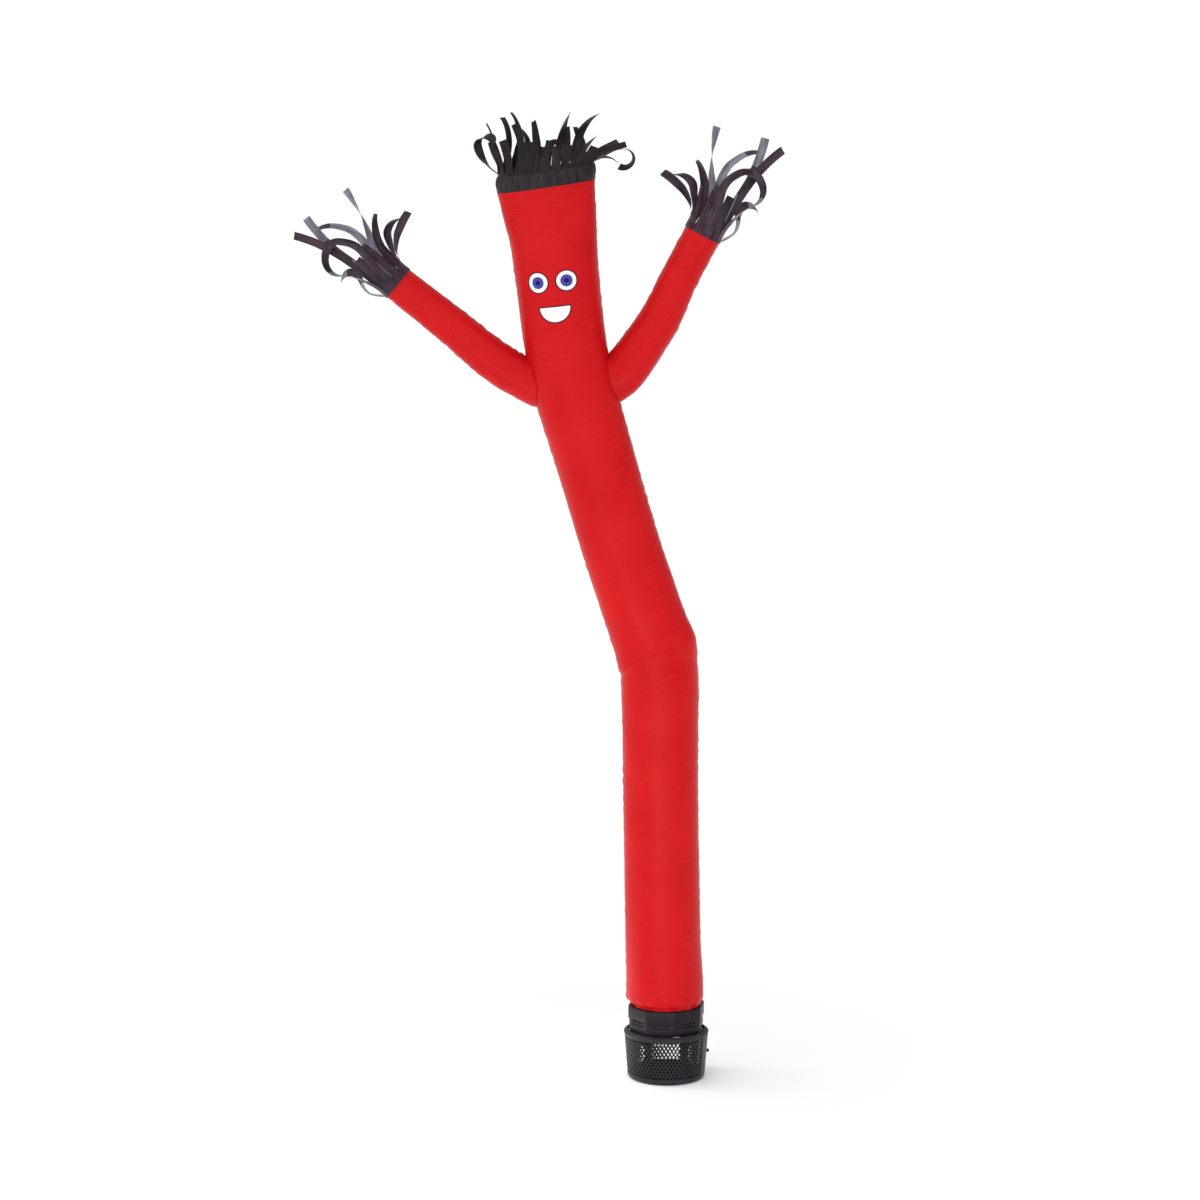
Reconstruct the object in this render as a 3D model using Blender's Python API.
"""Inflatable air dancer standing on its fan blower.

Metres, +Z up. The origin is on the floor at the blower's axis, and the face looks towards -Y.
The cloth pieces are thin lofted sheets that Solidify gives their thickness. The blower is a
perforated basket, a stand with a motor, and an octagonal housing whose collar the hem grips.
Every sub-part is one closed solid.
"""
import math
from collections import namedtuple

import bmesh
import bpy
from mathutils import Matrix, Vector

# ---- clearances and sheet thicknesses -------------------------------------------------------
GAP = 0.0003                 # between two pieces that touch
SEAM_GAP = 0.0006            # between two flared cloth edges, whose thickness leans together
CLOTH = 0.0012               # coated nylon of the dancer, at the thinnest a solid keeps
RIBBON_CLOTH = 0.0010        # the same cloth, cut into ribbons
SHOULDER_GAP = 0.0020        # from a sleeve's root to the dancer's side, along the sleeve

# ---- dancer ---------------------------------------------------------------------------------
TUBE_DIAMETER = 0.2485       # tube laid round; it keeps this girth where it is an oval
TUBE_SIDES = 32
SLEEVE_SIDES = 20
CREASE_Z = 1.3275            # buckled fold on the inner side of the knee
CREASE_DEPTH = 0.006
CREASE_REACH_DEG = 105.0     # how far round from the left side the fold runs out
GATHER_DEPTH = 0.0026        # pleats of the cinched hem
GATHER_TOP_Z = 0.270         # above this the hem's pleats have opened out
SHOULDER_HOLE = 0.068        # reach of the air hole round the middle of a sleeve's root
ROOT_FLATNESS = 0.30         # share that a sleeve's root is shallower than it is wide
ROOT_REACH = 0.18            # length along a sleeve over which it turns round again

# One row for each section of a tube: centre, lean of its axis to the left, width across.
Section = namedtuple("Section", "x z lean width")

TUBE_SECTIONS = (
    Section(x=0.0000, z=0.2412, lean=0.0, width=0.2171),
    Section(x=0.0000, z=0.2480, lean=0.0, width=0.2175),
    Section(x=-0.0040, z=0.2540, lean=0.0, width=0.2290),
    Section(x=-0.0055, z=0.2610, lean=0.0, width=0.2400),
    Section(x=-0.0055, z=0.2740, lean=0.5, width=0.2470),
    Section(x=-0.0050, z=0.3000, lean=1.0, width=0.2485),
    Section(x=-0.0105, z=0.4500, lean=1.0, width=0.2435),
    Section(x=-0.0190, z=0.9000, lean=1.0, width=0.2415),
    Section(x=-0.0212, z=1.1500, lean=0.7, width=0.2440),
    Section(x=-0.0222, z=1.2520, lean=1.5, width=0.2485),
    Section(x=-0.0235, z=1.2950, lean=4.0, width=0.2485),
    Section(x=-0.0260, z=CREASE_Z, lean=7.0, width=0.2495),
    Section(x=-0.0320, z=1.3660, lean=10.0, width=0.2540),
    Section(x=-0.0380, z=1.4030, lean=13.2, width=0.2595),
    Section(x=-0.0585, z=1.4560, lean=16.8, width=0.2535),
    Section(x=-0.0780, z=1.5120, lean=18.8, width=0.2505),
    Section(x=-0.1000, z=1.5780, lean=19.0, width=0.2500),
    Section(x=-0.1320, z=1.6730, lean=18.0, width=0.2490),
    Section(x=-0.1710, z=1.8000, lean=16.8, width=0.2490),
    Section(x=-0.2080, z=1.9260, lean=16.6, width=0.2500),
    Section(x=-0.2430, z=2.0450, lean=16.6, width=0.2530),
    Section(x=-0.2640, z=2.1150, lean=15.5, width=0.2560),
    Section(x=-0.2820, z=2.1750, lean=13.0, width=0.2580),
    Section(x=-0.2900, z=2.2050, lean=11.6, width=0.2587),
    Section(x=-0.2970, z=2.2350, lean=10.5, width=0.2590),
    Section(x=-0.3037, z=2.2650, lean=9.5, width=0.2590),
    Section(x=-0.3100, z=2.2950, lean=8.7, width=0.2590),
    Section(x=-0.3205, z=2.3600, lean=7.6, width=0.2595),
    Section(x=-0.3310, z=2.4400, lean=6.8, width=0.2610),
    Section(x=-0.3400, z=2.5200, lean=6.2, width=0.2630),
    Section(x=-0.3485, z=2.6000, lean=5.6, width=0.2665),
    Section(x=-0.3560, z=2.6800, lean=5.6, width=0.2740),
    Section(x=-0.3640, z=2.7350, lean=6.5, width=0.2870),
    Section(x=-0.3715, z=2.7880, lean=7.5, width=0.2970),
    Section(x=-0.3785, z=2.8410, lean=8.3, width=0.3060),
)
BAND_SECTIONS = (
    Section(x=-0.3785, z=2.8410 + SEAM_GAP, lean=8.3, width=0.3060),
    Section(x=-0.3790, z=2.8650, lean=8.2, width=0.3055),
    Section(x=-0.3785, z=2.8890, lean=8.0, width=0.3030),
)
HAIR_STRIP_SECTIONS = (
    Section(x=-0.3785, z=2.8890 + SEAM_GAP, lean=8.0, width=0.3030),
    Section(x=-0.3785, z=2.8990, lean=8.0, width=0.3025),
)
LEFT_SLEEVE_SECTIONS = (
    Section(x=-0.4300, z=2.2355, lean=101.0, width=0.1660),
    Section(x=-0.4790, z=2.2620, lean=78.0, width=0.1400),
    Section(x=-0.5270, z=2.2920, lean=56.0, width=0.1330),
    Section(x=-0.5740, z=2.3270, lean=50.0, width=0.1290),
    Section(x=-0.6585, z=2.3980, lean=50.0, width=0.1220),
    Section(x=-0.7460, z=2.4680, lean=50.5, width=0.1170),
    Section(x=-0.8370, z=2.5400, lean=50.5, width=0.1130),
    Section(x=-0.8520, z=2.5525, lean=50.5, width=0.1120),
)
RIGHT_SLEEVE_SECTIONS = (
    Section(x=-0.1655, z=2.2475, lean=-77.0, width=0.1590),
    Section(x=-0.1320, z=2.2760, lean=-60.0, width=0.1530),
    Section(x=-0.1060, z=2.3090, lean=-45.0, width=0.1440),
    Section(x=-0.0725, z=2.3580, lean=-32.0, width=0.1380),
    Section(x=-0.0220, z=2.4365, lean=-28.5, width=0.1310),
    Section(x=0.0315, z=2.5510, lean=-28.0, width=0.1220),
    Section(x=0.1055, z=2.6920, lean=-28.0, width=0.1200),
    Section(x=0.1150, z=2.7100, lean=-28.0, width=0.1195),
)

# ---- fringe ---------------------------------------------------------------------------------
# One row for each ribbon, in order round its strip: its length, and in degrees how far its way
# turns from the strip's own at the root, middle and tip (towards angle 0 of the ring), how far
# it comes forwards at root and tip, and how far it twists.
Ribbon = namedtuple("Ribbon", "length root mid tip near_root near_tip twist")

SLIT_SHARE = 0.09            # of a ribbon's pitch, left open between it and the next one
RIBBON_STEP = 0.027          # length of one flat facet of a ribbon
TWIST_START = 0.2            # share of a ribbon's length after which it twists
CUFF_STRIP_HEIGHT = 0.012
CUFF_CLEARANCE = 0.0019      # from the sleeve's corners to the strip's, so that its flats clear them

HAND_RIBBONS = (
    Ribbon(length=0.220, root=-5, mid=35, tip=155, near_root=0, near_tip=25, twist=150),
    Ribbon(length=0.210, root=-8, mid=20, tip=65, near_root=-5, near_tip=-5, twist=120),
    Ribbon(length=0.325, root=-8, mid=30, tip=15, near_root=-12, near_tip=-12, twist=10),
    Ribbon(length=0.340, root=12, mid=10, tip=-65, near_root=-18, near_tip=-14, twist=60),
    Ribbon(length=0.350, root=-5, mid=-5, tip=15, near_root=-12, near_tip=-12, twist=-30),
    Ribbon(length=0.345, root=3, mid=-4, tip=-28, near_root=0, near_tip=-15, twist=-80),
    Ribbon(length=0.205, root=-55, mid=40, tip=-130, near_root=-23, near_tip=-28, twist=120),
    Ribbon(length=0.300, root=5, mid=-40, tip=110, near_root=10, near_tip=-35, twist=-10),
    Ribbon(length=0.135, root=8, mid=6, tip=0, near_root=5, near_tip=5, twist=40),
    Ribbon(length=0.300, root=4, mid=16, tip=-65, near_root=26, near_tip=26, twist=0),
    Ribbon(length=0.155, root=8, mid=3, tip=-5, near_root=16, near_tip=16, twist=0),
    Ribbon(length=0.140, root=14, mid=4, tip=20, near_root=22, near_tip=22, twist=10),
    Ribbon(length=0.220, root=0, mid=65, tip=85, near_root=26, near_tip=26, twist=90),
)
HAIR_RIBBONS = (
    Ribbon(length=0.085, root=60, mid=110, tip=145, near_root=-5, near_tip=-5, twist=-20),
    Ribbon(length=0.115, root=45, mid=72, tip=78, near_root=-20, near_tip=-20, twist=10),
    Ribbon(length=0.120, root=20, mid=-5, tip=-25, near_root=-32, near_tip=-20, twist=90),
    Ribbon(length=0.180, root=10, mid=30, tip=75, near_root=-8, near_tip=-8, twist=120),
    Ribbon(length=0.120, root=15, mid=10, tip=0, near_root=-22, near_tip=-22, twist=0),
    Ribbon(length=0.170, root=20, mid=20, tip=35, near_root=-5, near_tip=-5, twist=100),
    Ribbon(length=0.080, root=12, mid=18, tip=22, near_root=-10, near_tip=-10, twist=0),
    Ribbon(length=0.070, root=18, mid=18, tip=20, near_root=-20, near_tip=-20, twist=0),
    Ribbon(length=0.100, root=20, mid=8, tip=-20, near_root=-24, near_tip=-24, twist=60),
    Ribbon(length=0.140, root=45, mid=20, tip=-45, near_root=0, near_tip=0, twist=60),
    Ribbon(length=0.195, root=35, mid=15, tip=-35, near_root=-6, near_tip=-6, twist=45),
    Ribbon(length=0.185, root=25, mid=10, tip=-25, near_root=-20, near_tip=-20, twist=0),
    Ribbon(length=0.170, root=5, mid=0, tip=-20, near_root=-24, near_tip=-14, twist=0),
    Ribbon(length=0.230, root=-50, mid=-5, tip=180, near_root=10, near_tip=50, twist=0),
    Ribbon(length=0.110, root=-15, mid=-12, tip=-12, near_root=12, near_tip=12, twist=80),
    Ribbon(length=0.105, root=5, mid=-3, tip=-12, near_root=8, near_tip=8, twist=0),
    Ribbon(length=0.155, root=30, mid=5, tip=-25, near_root=6, near_tip=6, twist=-10),
    Ribbon(length=0.100, root=25, mid=12, tip=-5, near_root=24, near_tip=24, twist=0),
    Ribbon(length=0.155, root=15, mid=5, tip=0, near_root=12, near_tip=12, twist=70),
    Ribbon(length=0.175, root=-5, mid=45, tip=235, near_root=30, near_tip=28, twist=30),
    Ribbon(length=0.070, root=18, mid=12, tip=-15, near_root=18, near_tip=18, twist=0),
    Ribbon(length=0.075, root=18, mid=20, tip=25, near_root=22, near_tip=22, twist=0),
    Ribbon(length=0.125, root=42, mid=42, tip=60, near_root=32, near_tip=16, twist=60),
    Ribbon(length=0.070, root=45, mid=45, tip=40, near_root=20, near_tip=20, twist=0),
    Ribbon(length=0.130, root=45, mid=80, tip=82, near_root=4, near_tip=4, twist=0),
    Ribbon(length=0.210, root=55, mid=100, tip=310, near_root=0, near_tip=5, twist=35),
)

# ---- blower ---------------------------------------------------------------------------------
BASKET_HEIGHT = 0.152
BASKET_FOOT_RADIUS = 0.1225
BASKET_TOP_RADIUS = 0.1340
BASKET_SHEET = 0.0016
FOOT_BEND_RADIUS = 0.013     # rounded edge between the basket's floor and wall
FOOT_BEND_STEPS = 3
LIP_RADIUS = 0.1356          # outside of the turned rim
LIP_HEIGHT = 0.0045
SHOULDER_OUTER_RADIUS = 0.1346   # the basket's shoulder rises inwards from the rim
SHOULDER_INNER_RADIUS = 0.1245
SHOULDER_TOP_Z = 0.1590
HOLE_COLUMNS = 33            # holes at twice the real pitch
HOLE_ROWS = 7
LATTICE_BOTTOM_Z = 0.0180
LATTICE_TOP_Z = 0.1400
STRAND_WIDTH = 0.0052        # bar between two holes
SEAM_STRIP_DEG = (-29.0, 12.0)   # plain strip where the rolled sheet is joined, from +X

HOUSING_SIDES = 8
HOUSING_RADIUS = 0.1255      # over the corners of the upper band
HOUSING_STEP = 0.0033        # the lower band stands back by this much
HOUSING_TOP_Z = 0.2390
HOUSING_STEP_Z = 0.2000
HOUSING_BOTTOM_Z = 0.1350
HOUSING_FOOT_RADIUS = 0.1180     # the foot inside the basket's shoulder is narrower
HOUSING_FOOT_Z = 0.1600
HOUSING_FLARE_Z = 0.1680
HOUSING_WALL = 0.0025
HOUSING_CORNER_DEG = -75.8   # one corner's direction, from +X
COLLAR_RADIUS = 0.1070
COLLAR_TOP_Z = 0.2620

LEG_RADIUS = 0.086           # from the axis to a leg's outer face
LEG_THICKNESS = 0.008
LEG_WIDTH = 0.024
ARM_REACH = 0.118            # the stand's arms end under the housing's wall
ARM_THICKNESS = 0.008
BRIDGE_DIRECTIONS_DEG = (45.0, 135.0)

MOTOR_RADIUS = 0.036
MOTOR_HEIGHT = 0.056
MOTOR_EDGE = 0.004

CLIP_DIRECTION_DEG = -76.0
CLIP_WIDTH = 0.024
CLIP_INNER_RADIUS = 0.1195
CLIP_OUTER_RADIUS = 0.1300
CLIP_THICKNESS = 0.0022
SCREW_Z = 0.084
SCREW_RADIUS = 0.005
SCREW_LENGTH = 0.008


def clear_scene():
    """Start from an empty scene."""
    for old in list(bpy.data.objects):
        bpy.data.objects.remove(old, do_unlink=True)


def make_material(name, color, roughness, metallic=0.0):
    """One plain Principled material."""
    material = bpy.data.materials.new(name)
    material.use_nodes = True
    shader = material.node_tree.nodes["Principled BSDF"]
    shader.inputs["Base Color"].default_value = (*color, 1.0)
    shader.inputs["Roughness"].default_value = roughness
    shader.inputs["Metallic"].default_value = metallic
    return material


def make_object(name, mesh_builder, material):
    """Turn a finished bmesh into a named object that wears its material."""
    mesh = bpy.data.meshes.new(name)
    mesh_builder.to_mesh(mesh)
    mesh_builder.free()
    mesh.materials.append(material)
    mesh.shade_smooth()
    mesh.set_sharp_from_angle(angle=math.radians(35))
    obj = bpy.data.objects.new(name, mesh)
    bpy.context.scene.collection.objects.link(obj)
    return obj


def thicken(obj, thickness, even=True):
    """Give a sheet its thickness, inwards from its outer face."""
    solidify = obj.modifiers.new("thickness", "SOLIDIFY")
    solidify.thickness = thickness
    solidify.offset = -1.0
    solidify.use_even_offset = even
    solidify.use_rim = True
    return obj


# ---- lofted cloth tubes ---------------------------------------------------------------------
def oval_depth(width):
    """Depth of a section: round where it is gathered, else the oval that keeps the girth."""
    if width <= TUBE_DIAMETER:
        return width
    return math.sqrt(2 * TUBE_DIAMETER ** 2 - width ** 2)


def axis_directions(section):
    """The section's direction across its front, and along the tube."""
    lean = math.radians(section.lean)
    across = Vector((math.cos(lean), 0, math.sin(lean)))
    along = Vector((-math.sin(lean), 0, math.cos(lean)))
    return across, along


def ring(section, angles, depth, grow=0.0):
    """Points of a section at these angles: 0 is its right side, 90 degrees its back."""
    across, _ = axis_directions(section)
    centre = Vector((section.x, 0, section.z))
    half_width = section.width / 2 + grow
    half_depth = depth / 2 + grow
    return [centre + across * (half_width * math.cos(angle)) + Vector((0, half_depth * math.sin(angle), 0))
            for angle in angles]


def even_angles(count, start=0.0):
    """Equal steps round a circle, in radians."""
    return [start + 2 * math.pi * k / count for k in range(count)]


def loft(rings):
    """An open tube of quads through rings that all have the same number of points."""
    sheet = bmesh.new()
    rows = [[sheet.verts.new(point) for point in points] for points in rings]
    count = len(rows[0])
    for low, high in zip(rows, rows[1:]):
        for k in range(count):
            after = (k + 1) % count
            sheet.faces.new((low[k], low[after], high[after], high[k]))
    return sheet, rows


def crease_pull(section, angle):
    """How far the knee's fold draws this point in: deepest at the left side."""
    if section.z != CREASE_Z:
        return 0.0
    from_left = abs(math.degrees(angle) - 180.0)
    if from_left >= CREASE_REACH_DEG:
        return 0.0
    return CREASE_DEPTH * math.cos(math.radians(90.0 * from_left / CREASE_REACH_DEG))


def gather_push(section, index):
    """Every second point of the cinched hem stands out as a pleat."""
    if section.z >= GATHER_TOP_Z or index % 2 == 0:
        return 0.0
    return GATHER_DEPTH


def tube_ring(section):
    """One ring of the dancer's tube, with the knee's fold and the hem's pleats."""
    angles = even_angles(TUBE_SIDES)
    points = ring(section, angles, oval_depth(section.width))
    centre = Vector((section.x, 0, section.z))
    shaped = []
    for index, (angle, point) in enumerate(zip(angles, points)):
        outward = (point - centre).normalized()
        move = gather_push(section, index) - crease_pull(section, angle)
        shaped.append(point + outward * move)
    return shaped


def build_tube(material):
    """The dancer's one long tube: open hem, open head, a hole into each sleeve."""
    sheet, _ = loft([tube_ring(section) for section in TUBE_SECTIONS])
    hole_faces = []
    for root in (LEFT_SLEEVE_SECTIONS[0], RIGHT_SLEEVE_SECTIONS[0]):
        middle = Vector((root.x, 0, root.z))
        hole_faces += [face for face in sheet.faces
                       if all((corner.co - middle).length < SHOULDER_HOLE for corner in face.verts)]
    bmesh.ops.delete(sheet, geom=hole_faces, context="FACES")
    return thicken(make_object("dancer_tube", sheet, material), CLOTH)


def build_head_band(material):
    """The dark cloth band sewn round the head's open top."""
    rings = [ring(section, even_angles(TUBE_SIDES), oval_depth(section.width)) for section in BAND_SECTIONS]
    sheet, _ = loft(rings)
    return thicken(make_object("head_band", sheet, material), CLOTH)


def inside_tube(point):
    """Whether a point lies inside the dancer's tube, between its sections."""
    for low, high in zip(TUBE_SECTIONS, TUBE_SECTIONS[1:]):
        if low.z <= point.z < high.z:
            share = (point.z - low.z) / (high.z - low.z)
            middle_x = low.x + share * (high.x - low.x)
            width = low.width + share * (high.width - low.width)
            level_half_width = width / 2 / math.cos(math.radians(low.lean))
            half_depth = oval_depth(width) / 2
            return ((point.x - middle_x) / level_half_width) ** 2 + (point.y / half_depth) ** 2 < 1
    return False


def seat_on_tube(point, along):
    """Slide a point along its sleeve until it lies just off the dancer's side."""
    inner, outer = -0.12, 0.12
    for _ in range(30):
        middle = (inner + outer) / 2
        if inside_tube(point + along * middle):
            inner = middle
        else:
            outer = middle
    return point + along * (outer + SHOULDER_GAP)


def sleeve_depths(sections):
    """Depth of each section: the sleeve is sewn on flat, so it is an oval at its root."""
    depths = []
    reach = 0.0
    last = sections[0]
    for section in sections:
        reach += math.hypot(section.x - last.x, section.z - last.z)
        left_over = max(0.0, 1 - reach / ROOT_REACH)
        depths.append(section.width * (1 - ROOT_FLATNESS * left_over ** 2))
        last = section
    return depths


def build_sleeve(name, sections, material):
    """A tapered sleeve, its root fitted to the dancer's side and its end open."""
    angles = even_angles(SLEEVE_SIDES)
    rings = [ring(section, angles, depth) for section, depth in zip(sections, sleeve_depths(sections))]
    _, along = axis_directions(sections[0])
    rings[0] = [seat_on_tube(point, along) for point in rings[0]]
    sheet, _ = loft(rings)
    return thicken(make_object(name, sheet, material), CLOTH)


# ---- fringe: ribbons rooted in a narrow strip -----------------------------------------------
def arc_angles(width, depth, shares):
    """Angles round an oval at these shares of its length round."""
    steps = 720
    lengths = [0.0]
    for k in range(steps):
        middle = 2 * math.pi * (k + 0.5) / steps
        piece = math.hypot(width * math.sin(middle), depth * math.cos(middle)) * math.pi / steps
        lengths.append(lengths[-1] + piece)
    angles = []
    for share in shares:
        target = share * lengths[-1]
        index = next(k for k in range(steps) if lengths[k + 1] >= target)
        part = (target - lengths[index]) / (lengths[index + 1] - lengths[index])
        angles.append(2 * math.pi * (index + part) / steps)
    return angles


def between(start, end, share):
    """The value at a share of the way from start to end."""
    return start + (end - start) * share


def ribbon_way(ribbon, share, across, along, mirror):
    """The direction a ribbon runs in at a share of its length."""
    if share < 0.5:
        turn = math.radians(between(ribbon.root, ribbon.mid, 2 * share))
    else:
        turn = math.radians(between(ribbon.mid, ribbon.tip, 2 * share - 1))
    near = math.radians(between(ribbon.near_root, ribbon.near_tip, share))
    level = along * math.cos(turn) + across * (mirror * math.sin(turn))
    return level * math.cos(near) + Vector((0, -1, 0)) * math.sin(near)


def ribbon_walk(root, side, across, along, ribbon, mirror):
    """Edge points of a ribbon, walked from its root in equal steps that turn it as they go."""
    steps = max(4, round(ribbon.length / RIBBON_STEP))
    half_width = side.length / 2
    twist = mirror * math.radians(ribbon.twist) / steps / (1 - TWIST_START)
    place = root.copy()
    normal = side.cross(along)
    pairs = []
    for k in range(steps):
        share = (k + 0.5) / steps
        direction = ribbon_way(ribbon, share, across, along, mirror)
        normal = (normal - direction * normal.dot(direction)).normalized()
        if share > TWIST_START:
            normal = Matrix.Rotation(twist, 3, direction) @ normal
        place += direction * (ribbon.length / steps)
        half_side = direction.cross(normal) * half_width
        pairs.append((place - half_side, place + half_side))
    return pairs


def build_fringe(name, sections, ribbons, round_depth, grow, mirror, material):
    """A narrow closed strip and the ribbons that rise from its top edge."""
    count = len(ribbons)
    shares = []
    for k in range(count):
        shares += [(k + SLIT_SHARE / 2) / count, (k + 1 - SLIT_SHARE / 2) / count]
    top = sections[-1]
    depth = top.width if round_depth else oval_depth(top.width)
    angles = arc_angles(top.width, depth, shares)
    if mirror < 0:
        angles = [math.pi - angle for angle in reversed(angles)]
        ribbons = ribbons[::-1]
    rings = []
    for section in sections:
        section_depth = section.width if round_depth else oval_depth(section.width)
        rings.append(ring(section, angles, section_depth, grow))
    sheet, rows = loft(rings)
    across, along = axis_directions(top)
    edge = rows[-1]
    for k, ribbon in enumerate(ribbons):
        left, right = edge[2 * k], edge[2 * k + 1]
        root = (left.co + right.co) / 2
        for low_point, high_point in ribbon_walk(root, right.co - left.co, across, along, ribbon, mirror):
            next_left = sheet.verts.new(low_point)
            next_right = sheet.verts.new(high_point)
            sheet.faces.new((left, right, next_right, next_left))
            left, right = next_left, next_right
    return thicken(make_object(name, sheet, material), RIBBON_CLOTH, even=False)


def cuff_sections(sleeve_sections):
    """The strip that wraps a sleeve's end, starting at the cuff seam."""
    cuff = sleeve_sections[-2]
    _, along = axis_directions(cuff)
    top = Vector((cuff.x, 0, cuff.z)) + along * CUFF_STRIP_HEIGHT
    return (cuff, Section(x=top.x, z=top.z, lean=cuff.lean, width=cuff.width))


# ---- blower ---------------------------------------------------------------------------------
def basket_radius(height):
    """The tapered wall's outer radius at a height."""
    return BASKET_FOOT_RADIUS + (BASKET_TOP_RADIUS - BASKET_FOOT_RADIUS) * height / BASKET_HEIGHT


def circle_points(radius, height, count, start=0.0):
    """Points round the blower's axis."""
    return [Vector((radius * math.cos(angle), radius * math.sin(angle), height))
            for angle in even_angles(count, start)]


def add_band(sheet, low, high):
    """Quads between two rings of vertices that have the same count."""
    count = len(low)
    for k in range(count):
        after = (k + 1) % count
        sheet.faces.new((low[k], low[after], high[after], high[k]))


def build_basket(material):
    """The intake basket: round floor, staggered diamond holes, seam strip, rim and shoulder."""
    sheet = bmesh.new()
    pitch_z = (LATTICE_TOP_Z - LATTICE_BOTTOM_Z) / (HOLE_ROWS + 1)
    half_step = math.pi / HOLE_COLUMNS
    rows = []
    for row in range(HOLE_ROWS + 2):
        height = LATTICE_BOTTOM_Z + row * pitch_z
        points = circle_points(basket_radius(height), height, HOLE_COLUMNS, (row % 2) * half_step)
        rows.append([sheet.verts.new(point) for point in points])

    holes = []
    for row in range(1, HOLE_ROWS + 1):
        for k in range(HOLE_COLUMNS):
            after = (k + 1) % HOLE_COLUMNS
            beside = after if row % 2 else k
            corners = (rows[row][k], rows[row - 1][beside], rows[row][after], rows[row + 1][beside])
            cell = sheet.faces.new(corners)
            middle = cell.calc_center_median()
            direction = math.degrees(math.atan2(middle.y, middle.x))
            if not SEAM_STRIP_DEG[0] < direction < SEAM_STRIP_DEG[1]:
                holes.append(cell)
    for k in range(HOLE_COLUMNS):
        after = (k + 1) % HOLE_COLUMNS
        sheet.faces.new((rows[0][k], rows[0][after], rows[1][k]))
        last = rows[-1]
        sheet.faces.new((last[after], last[k], rows[-2][k]))

    low = rows[0]
    for step in range(FOOT_BEND_STEPS + 1):
        turn = math.pi / 2 * step / FOOT_BEND_STEPS
        radius = basket_radius(FOOT_BEND_RADIUS) - FOOT_BEND_RADIUS * (1 - math.cos(turn))
        height = FOOT_BEND_RADIUS * (1 - math.sin(turn))
        below = [sheet.verts.new(point) for point in circle_points(radius, height, HOLE_COLUMNS)]
        add_band(sheet, below, low)
        low = below
    sheet.faces.new(list(reversed(low)))

    high = rows[-1]
    rim_profile = (
        (basket_radius(BASKET_HEIGHT - LIP_HEIGHT), BASKET_HEIGHT - LIP_HEIGHT),
        (LIP_RADIUS, BASKET_HEIGHT - LIP_HEIGHT / 2),
        (SHOULDER_OUTER_RADIUS, BASKET_HEIGHT),
        (SHOULDER_INNER_RADIUS, SHOULDER_TOP_Z),
    )
    for radius, height in rim_profile:
        above = [sheet.verts.new(point) for point in circle_points(radius, height, HOLE_COLUMNS)]
        add_band(sheet, high, above)
        high = above

    sheet.normal_update()
    bmesh.ops.inset_individual(sheet, faces=holes, thickness=STRAND_WIDTH / 2, use_even_offset=True)
    bmesh.ops.delete(sheet, geom=holes, context="FACES")
    return thicken(make_object("intake_basket", sheet, material), BASKET_SHEET)


def octagon_points(corner_radius, height, count, start):
    """Points round a regular octagon, its corners among them."""
    corner_step = 2 * math.pi / HOUSING_SIDES
    apothem = corner_radius * math.cos(corner_step / 2)
    points = []
    for angle in even_angles(count, start):
        from_middle = (angle - start) % corner_step - corner_step / 2
        radius = apothem / math.cos(from_middle)
        points.append(Vector((radius * math.cos(angle), radius * math.sin(angle), height)))
    return points


def build_housing(material):
    """The octagonal fan housing: foot, two bands, a deck, and the round collar the hem grips."""
    start = math.radians(HOUSING_CORNER_DEG)
    sides = TUBE_SIDES
    collar_step = 2 * math.pi / sides
    collar_start = round(start / collar_step) * collar_step
    lower_radius = HOUSING_RADIUS - HOUSING_STEP
    rings = [
        octagon_points(HOUSING_FOOT_RADIUS, HOUSING_BOTTOM_Z, sides, start),
        octagon_points(HOUSING_FOOT_RADIUS, HOUSING_FOOT_Z, sides, start),
        octagon_points(lower_radius, HOUSING_FLARE_Z, sides, start),
        octagon_points(lower_radius, HOUSING_STEP_Z, sides, start),
        octagon_points(HOUSING_RADIUS, HOUSING_STEP_Z, sides, start),
        octagon_points(HOUSING_RADIUS, HOUSING_TOP_Z, sides, start),
        circle_points(COLLAR_RADIUS, HOUSING_TOP_Z, sides, collar_start),
        circle_points(COLLAR_RADIUS, COLLAR_TOP_Z, sides, collar_start),
    ]
    sheet, _ = loft(rings)
    return thicken(make_object("fan_housing", sheet, material), HOUSING_WALL)


def build_bridge(name, direction_deg, material):
    """One flat bar of the stand, bent into a bridge: leg, arm across, leg."""
    foot = BASKET_SHEET + GAP
    top = HOUSING_BOTTOM_Z - GAP
    under = top - ARM_THICKNESS
    inner = LEG_RADIUS - LEG_THICKNESS
    half_profile = ((inner, under), (inner, foot), (LEG_RADIUS, foot), (LEG_RADIUS, under),
                    (ARM_REACH, under), (ARM_REACH, top))
    profile = list(half_profile) + [(-out, up) for out, up in reversed(half_profile)]
    turn = Matrix.Rotation(math.radians(direction_deg), 3, "Z")
    bar = bmesh.new()
    near = [bar.verts.new(turn @ Vector((out, -LEG_WIDTH / 2, up))) for out, up in profile]
    face = bar.faces.new(near)
    grown = bmesh.ops.extrude_face_region(bar, geom=[face])
    far = [item for item in grown["geom"] if isinstance(item, bmesh.types.BMVert)]
    bmesh.ops.translate(bar, verts=far, vec=turn @ Vector((0, LEG_WIDTH, 0)))
    bmesh.ops.recalc_face_normals(bar, faces=bar.faces)
    return make_object(name, bar, material)


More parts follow.
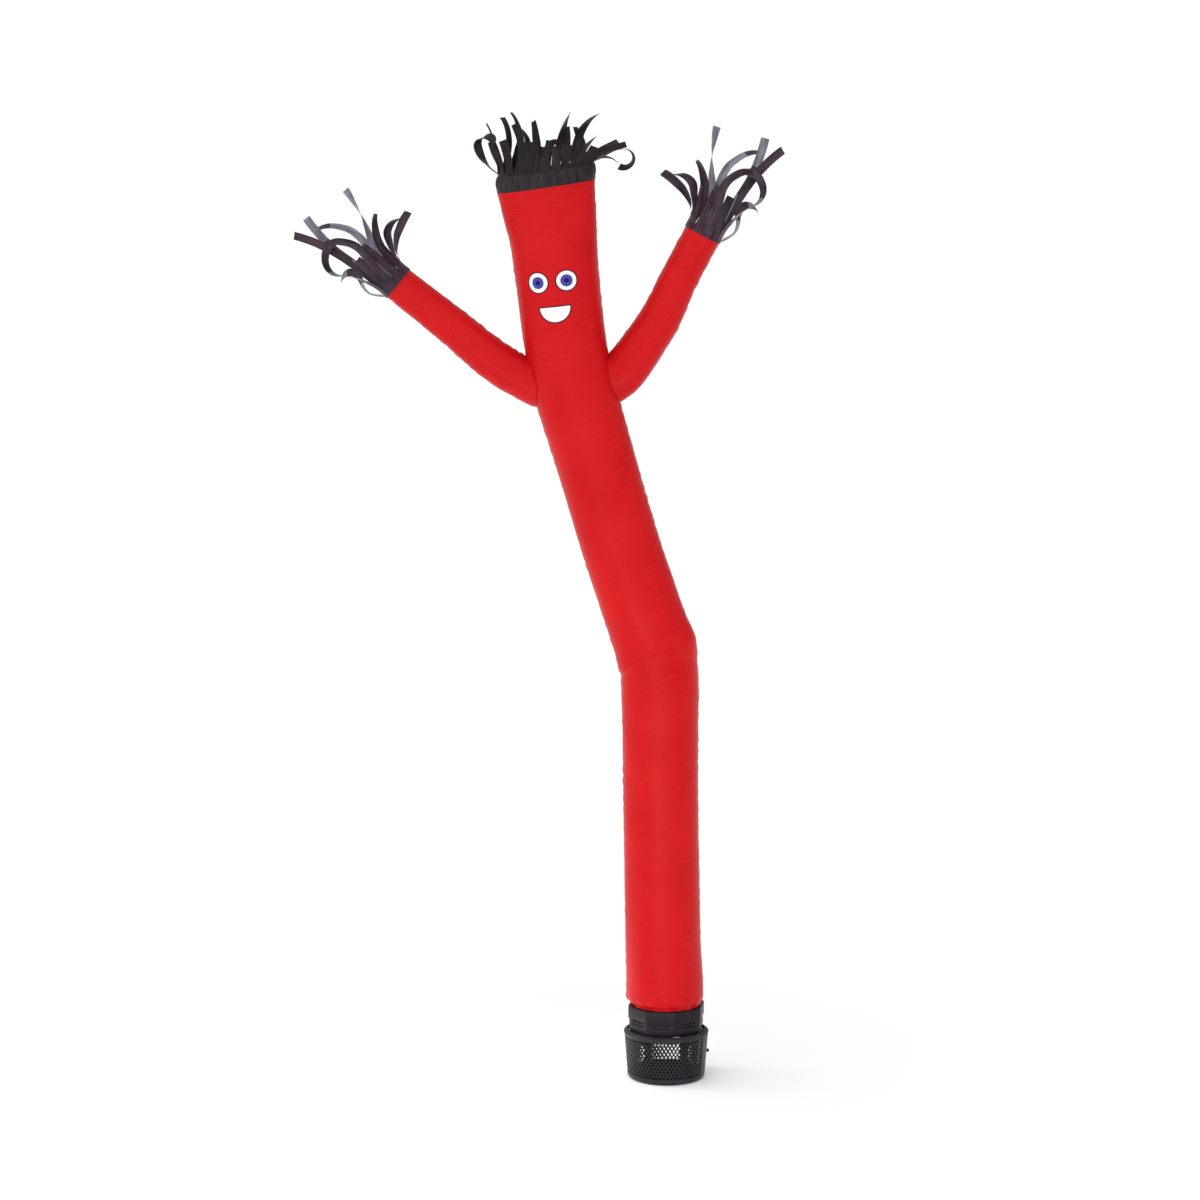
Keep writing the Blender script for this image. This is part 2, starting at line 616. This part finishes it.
def build_stand(material):
    """Two crossed bridges, joined into the stand that carries the motor and the housing."""
    first, second = BRIDGE_DIRECTIONS_DEG
    stand = build_bridge("fan_stand", first, material)
    crossing = build_bridge("stand_second_bridge", second, material)
    crossing.hide_render = True
    crossing.display_type = "WIRE"
    union = stand.modifiers.new("second_bridge", "BOOLEAN")
    union.operation = "UNION"
    union.solver = "EXACT"
    union.object = crossing
    return stand


def build_motor(material):
    """The motor's round can, standing on the stand's crossing arms."""
    bottom = HOUSING_BOTTOM_Z
    profile = ((MOTOR_RADIUS, bottom), (MOTOR_RADIUS, bottom + MOTOR_HEIGHT - MOTOR_EDGE),
               (MOTOR_RADIUS - MOTOR_EDGE, bottom + MOTOR_HEIGHT))
    can, rows = loft([circle_points(radius, height, 24) for radius, height in profile])
    can.faces.new(list(reversed(rows[0])))
    can.faces.new(rows[-1])
    return make_object("fan_motor", can, material)


def build_clip(material):
    """The bright clip that lies on the basket's shoulder and reaches in to the housing's corner."""
    direction = math.radians(CLIP_DIRECTION_DEG)
    outward = Vector((math.cos(direction), math.sin(direction), 0))
    sideways = Vector((-outward.y, outward.x, 0))
    bottom = SHOULDER_TOP_Z + GAP
    clip = bmesh.new()
    corners = ((CLIP_INNER_RADIUS, -1), (CLIP_OUTER_RADIUS, -1),
               (CLIP_OUTER_RADIUS, 1), (CLIP_INNER_RADIUS, 1))
    base = [clip.verts.new(outward * out + sideways * (side * CLIP_WIDTH / 2) + Vector((0, 0, bottom)))
            for out, side in corners]
    face = clip.faces.new(base)
    grown = bmesh.ops.extrude_face_region(clip, geom=[face])
    raised = [item for item in grown["geom"] if isinstance(item, bmesh.types.BMVert)]
    bmesh.ops.translate(clip, verts=raised, vec=Vector((0, 0, CLIP_THICKNESS)))
    bmesh.ops.recalc_face_normals(clip, faces=clip.faces)
    return make_object("rim_clip", clip, material)


def build_screw(material):
    """The screw that stands out of the basket's seam strip, on the right."""
    wall = basket_radius(SCREW_Z + SCREW_RADIUS) + GAP
    profile = ((SCREW_RADIUS, 0.0), (SCREW_RADIUS, SCREW_LENGTH * 0.8), (SCREW_RADIUS * 0.75, SCREW_LENGTH))
    head, rows = loft([[Vector((wall + out, radius * math.cos(angle), SCREW_Z + radius * math.sin(angle)))
                        for angle in even_angles(12)] for radius, out in profile])
    head.faces.new(list(reversed(rows[0])))
    head.faces.new(rows[-1])
    return make_object("side_screw", head, material)


def build():
    """Make every sub-part of the dancer and its blower."""
    clear_scene()
    red_cloth = make_material("red_cloth", (0.70, 0.015, 0.020), 0.55)
    dark_cloth = make_material("dark_cloth", (0.035, 0.028, 0.035), 0.55)
    dark_ribbon = make_material("dark_ribbon", (0.050, 0.042, 0.058), 0.45)
    painted_sheet = make_material("painted_sheet", (0.030, 0.027, 0.032), 0.55, 0.2)
    dark_plastic = make_material("dark_plastic", (0.035, 0.031, 0.036), 0.60)
    motor_metal = make_material("motor_metal", (0.12, 0.12, 0.13), 0.50, 0.8)
    bright_metal = make_material("bright_metal", (0.45, 0.44, 0.46), 0.35, 1.0)

    build_tube(red_cloth)
    build_sleeve("sleeve_left", LEFT_SLEEVE_SECTIONS, red_cloth)
    build_sleeve("sleeve_right", RIGHT_SLEEVE_SECTIONS, red_cloth)
    build_head_band(dark_cloth)
    build_fringe("hair_fringe", HAIR_STRIP_SECTIONS, HAIR_RIBBONS, False, 0.0, 1, dark_cloth)
    cuff_grow = CUFF_CLEARANCE + RIBBON_CLOTH
    build_fringe("hand_fringe_left", cuff_sections(LEFT_SLEEVE_SECTIONS), HAND_RIBBONS, True,
                 cuff_grow, 1, dark_ribbon)
    build_fringe("hand_fringe_right", cuff_sections(RIGHT_SLEEVE_SECTIONS), HAND_RIBBONS, True,
                 cuff_grow, -1, dark_ribbon)
    build_basket(painted_sheet)
    build_stand(dark_plastic)
    build_motor(motor_metal)
    build_housing(dark_plastic)
    build_clip(bright_metal)
    build_screw(painted_sheet)


build()
